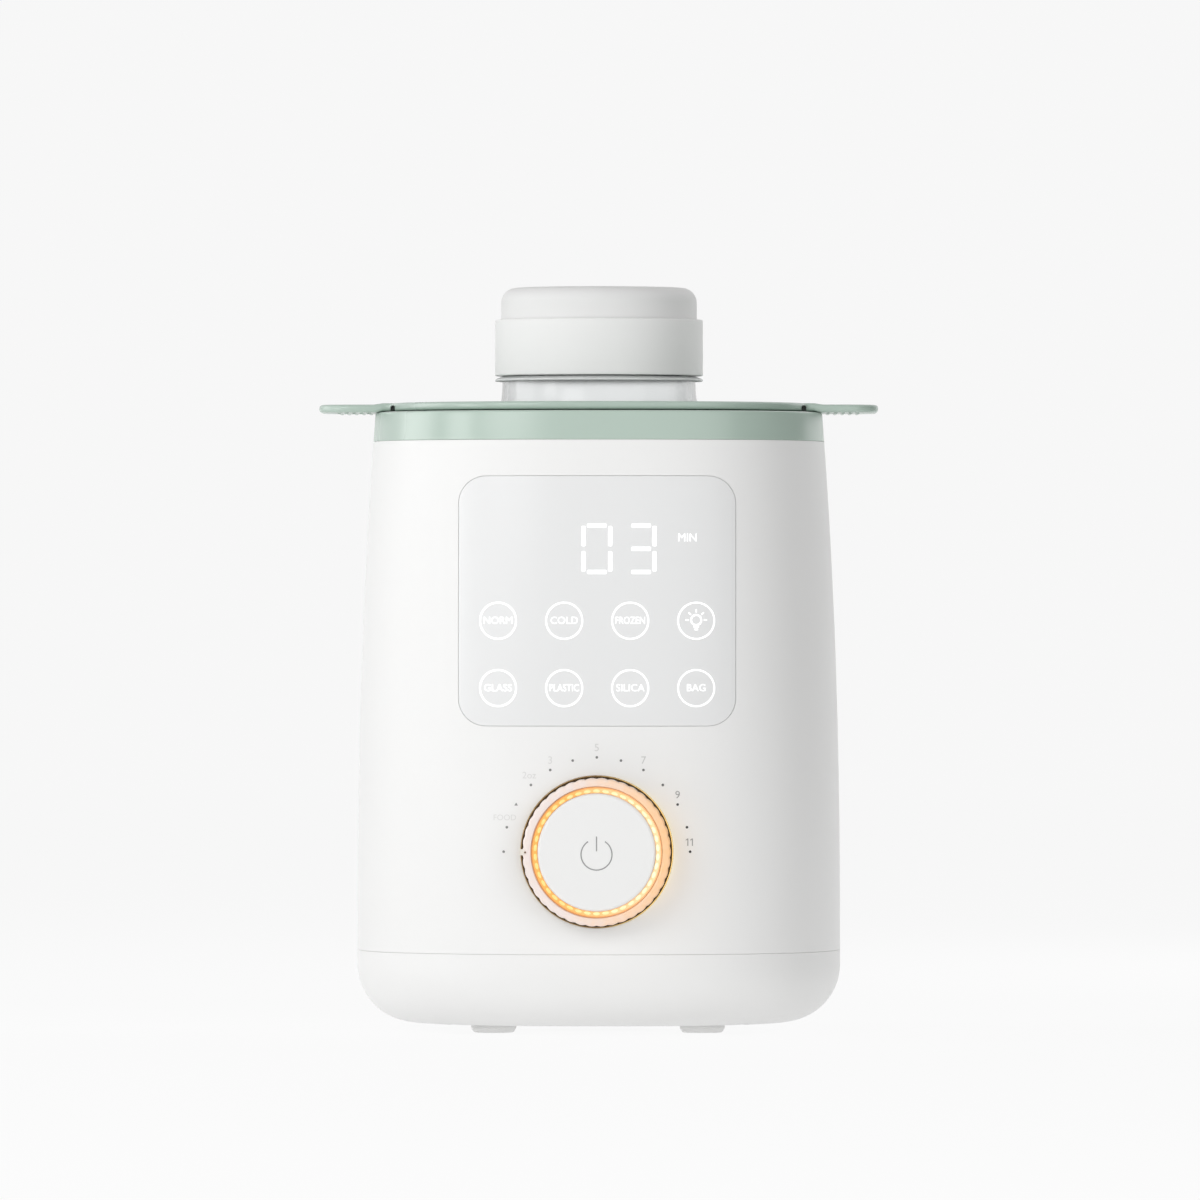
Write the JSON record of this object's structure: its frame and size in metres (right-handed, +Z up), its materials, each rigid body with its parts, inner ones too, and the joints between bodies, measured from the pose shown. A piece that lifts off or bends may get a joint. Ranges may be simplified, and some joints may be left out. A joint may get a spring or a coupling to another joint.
{
  "type": "bottle warmer",
  "caption": "Round countertop bottle warmer: tapered white housing, green lift-out basket with tabs holding a bottle, touch window and lit dial with centre button",
  "frame": {"origin": "centre of the bounding box's footprint, on the surface that the feet stand on", "axes": "+Z up, front with window and dial facing -Y, tabs along X"},
  "size_m": [0.1616, 0.1516, 0.2151],
  "materials": {
    "white_shell": "fine satin",
    "sage_green": "satin",
    "clear_bottle": "clear",
    "window_grey": "gloss",
    "dial_clear": "clear, fluted",
    "dial_glow": "lit",
    "dark_bronze": "satin",
    "black_rubber": "matt",
    "silicone": "matt",
    "aluminium": "satin",
    "steel": "plated",
    "circuit_board": "lacquered",
    "component_black": "moulded",
    "component_blue": "moulded",
    "moulded_white": "moulded",
    "film_amber": "film",
    "lead_red": "sleeved"
  },
  "bodies": {
    "housing": {"upper_housing": "white_shell", "base_housing": "white_shell", "trim_ring": "sage_green", "water_tank": "aluminium", "tank_seal": "silicone", "heating_plate": "aluminium", "heater_element": "steel", "heater_clamp": "steel", "heater_screw_1": "steel", "heater_screw_2": "steel", "heater_lead": "lead_red", "temperature_sensor": "steel", "thermal_fuse": "aluminium", "power_board": "circuit_board", "power_board_screw_1": "steel", "power_board_screw_2": "steel", "transformer": "component_black", "relay": "component_blue", "terminal_block": "moulded_white", "capacitor": "component_black", "display_window": "window_grey", "touch_film": "film_amber", "light_mask": "moulded_white", "digit_module": "component_black", "display_board": "circuit_board", "display_screw_1": "steel", "display_screw_2": "steel", "display_cable": "component_black", "dial_seat": "dark_bronze", "light_ring": "dial_glow", "dial_core": "moulded_white", "led_ring": "film_amber", "dial_board": "circuit_board", "dial_screw_1": "steel", "dial_screw_2": "steel", "dial_sensor": "component_black", "power_switch": "component_black", "button_spring": "steel", "cord_gland": "black_rubber", "foot_1": "silicone", "foot_2": "silicone", "foot_3": "silicone", "foot_4": "silicone", "base_screw_1": "steel", "base_screw_2": "steel", "base_screw_3": "steel", "base_screw_4": "steel"},
    "dial": {"dial_ring": "dial_clear", "dial_rotor": "moulded_white"},
    "button": {"power_button": "white_shell", "stem_clip": "steel"},
    "basket": {"lift_basket": "sage_green"},
    "bottle": {"bottle_body": "clear_bottle"},
    "lid": {"bottle_lid": "white_shell"},
    "collar": {"bottle_collar": "white_shell"}
  },
  "joints": [
    {"name": "dial_turn", "type": "hinge", "parent": "housing", "child": "dial", "pos_m": [0, -0.06624, 0.0527], "axis": [0, 1, 0], "range_deg": [0, 180]},
    {"name": "button_press", "type": "slide", "parent": "housing", "child": "button", "axis": [0, 1, 0], "range_m": [0, 0.0012], "stiffness_N_per_m": 1500, "deforming": ["button_spring"]},
    {"name": "basket_lift", "type": "slide", "parent": "housing", "child": "basket", "axis": [0, 0, 1], "range_m": [0, 0.14]},
    {"name": "bottle_lift", "type": "slide", "parent": "basket", "child": "bottle", "axis": [0, 0, 1], "range_m": [0, 0.14]},
    {"name": "lid_rise", "type": "slide", "parent": "bottle", "child": "lid", "axis": [0, 0, 1], "range_m": [0, 0.0041]},
    {"name": "collar_turn", "type": "hinge", "parent": "lid", "child": "collar", "pos_m": [0, 0.00355, 0.195], "axis": [0, 0, 1], "range_deg": [0, 360]}
  ],
  "couplings": [
    {"joint": "lid_rise", "follows": "collar_turn", "m_per_rad": 0.00063662}
  ]
}
